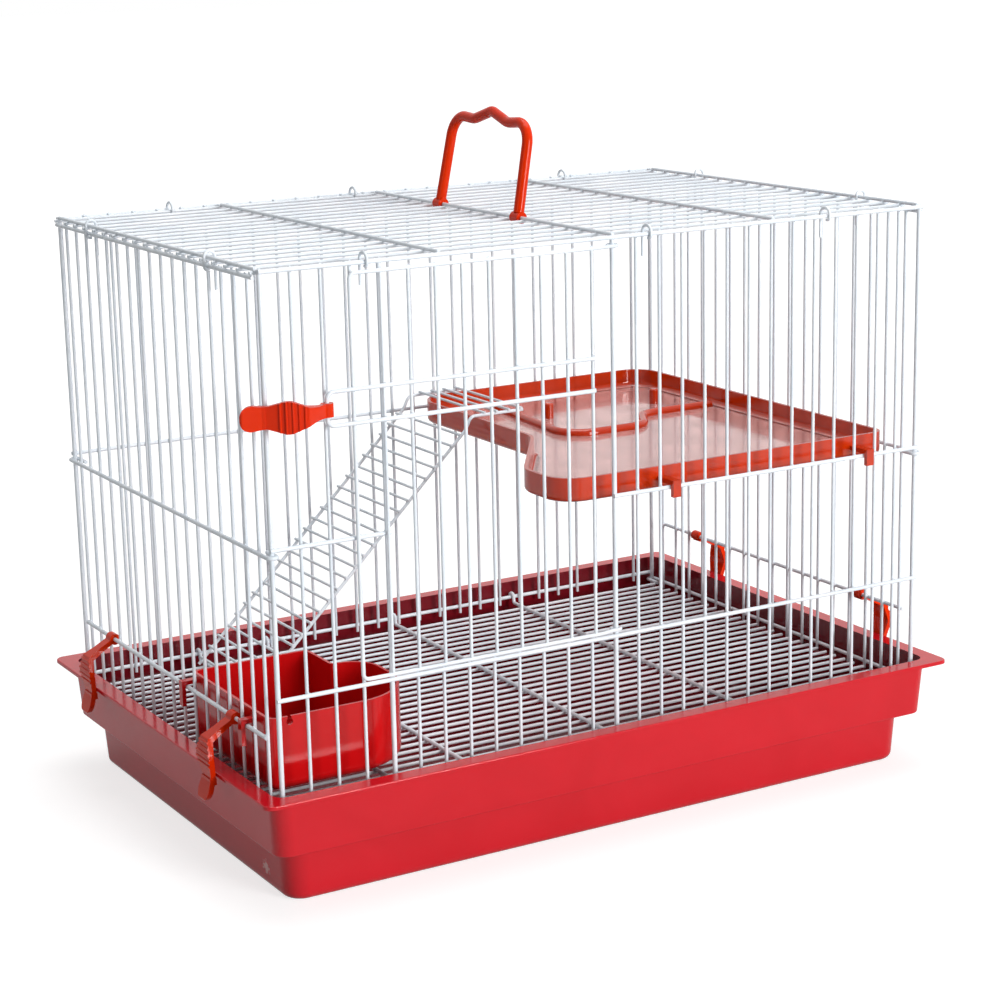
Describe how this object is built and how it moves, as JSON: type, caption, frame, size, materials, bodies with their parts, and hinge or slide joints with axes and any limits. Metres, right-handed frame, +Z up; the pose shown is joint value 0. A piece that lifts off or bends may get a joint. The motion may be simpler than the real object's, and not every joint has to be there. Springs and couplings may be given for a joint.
{
  "type": "two-level small-pet cage",
  "caption": "Wire cage for small pets on a deep plastic tray, with hinged front door, latch, snap clips, carrying handle, hanging shelf, wire ladder and hook-on feeder.",
  "frame": {"origin": "on the ground under the tray's centre", "axes": "+X along the front from left to right, -Y towards the front, +Z up"},
  "size_m": [0.5156, 0.3476, 0.4407],
  "materials": {
    "tray_plastic": "glossy injection-moulded red plastic",
    "white_wire": "white powder-coated steel wire",
    "clip_plastic": "glossy orange-red plastic",
    "shelf_plastic": "translucent red plastic",
    "feeder_plastic": "glossy bright red plastic"
  },
  "bodies": {
    "tray": {"tray": "tray_plastic"},
    "cage": {"front_panel": "white_wire", "back_panel": "white_wire", "left_panel": "white_wire", "right_panel": "white_wire", "roof_panel": "white_wire", "front_roof_hooks": "white_wire", "back_roof_hooks": "white_wire", "left_roof_hooks": "white_wire", "right_roof_hooks": "white_wire", "floor_grid": "white_wire"},
    "front_door": {"front_door": "white_wire"},
    "door_latch": {"door_latch": "clip_plastic"},
    "clip_left_front": {"clip_left_front": "clip_plastic"},
    "clip_left_back": {"clip_left_back": "clip_plastic"},
    "clip_right_front": {"clip_right_front": "clip_plastic"},
    "clip_right_back": {"clip_right_back": "clip_plastic"},
    "carry_handle": {"carry_handle": "clip_plastic"},
    "upper_shelf": {"upper_shelf": "shelf_plastic"},
    "ladder": {"ladder": "white_wire"},
    "feeder": {"feeder": "feeder_plastic"}
  },
  "joints": [
    {"name": "cage_lift", "type": "slide", "parent": "tray", "child": "cage", "axis": [0, 0, 1], "range_m": [0, 0.12]},
    {"name": "front_door_swing", "type": "hinge", "parent": "cage", "child": "front_door", "pos_m": [-0.00248, -0.155, 0.25], "axis": [0, 0, 1], "range_deg": [0, 150]},
    {"name": "door_latch_swing", "type": "hinge", "parent": "front_door", "child": "door_latch", "pos_m": [-0.19698, -0.16155, 0.29345], "axis": [0, 0, 1], "range_deg": [0, 100]},
    {"name": "clip_left_front_swing", "type": "hinge", "parent": "cage", "child": "clip_left_front", "pos_m": [-0.23485, -0.0968, 0.102], "axis": [0, 1, 0], "range_deg": [0, 75]},
    {"name": "clip_left_back_swing", "type": "hinge", "parent": "cage", "child": "clip_left_back", "pos_m": [-0.23485, 0.0968, 0.102], "axis": [0, 1, 0], "range_deg": [0, 75]},
    {"name": "clip_right_front_swing", "type": "hinge", "parent": "cage", "child": "clip_right_front", "pos_m": [0.23485, -0.0968, 0.102], "axis": [0, -1, 0], "range_deg": [0, 75]},
    {"name": "clip_right_back_swing", "type": "hinge", "parent": "cage", "child": "clip_right_back", "pos_m": [0.23485, 0.0968, 0.102], "axis": [0, -1, 0], "range_deg": [0, 75]},
    {"name": "handle_fold", "type": "hinge", "parent": "cage", "child": "carry_handle", "pos_m": [0, 0.00845, 0.37435], "axis": [0, 1, 0], "range_deg": [-97, 75]},
    {"name": "shelf_lift", "type": "slide", "parent": "cage", "child": "upper_shelf", "axis": [0, 0, 1], "range_m": [0, 0.06]},
    {"name": "ladder_lift", "type": "slide", "parent": "upper_shelf", "child": "ladder", "axis": [0, 0, 1], "range_m": [0, 0.05]},
    {"name": "feeder_lift", "type": "slide", "parent": "cage", "child": "feeder", "axis": [0, 0, 1], "range_m": [0, 0.05]}
  ]
}
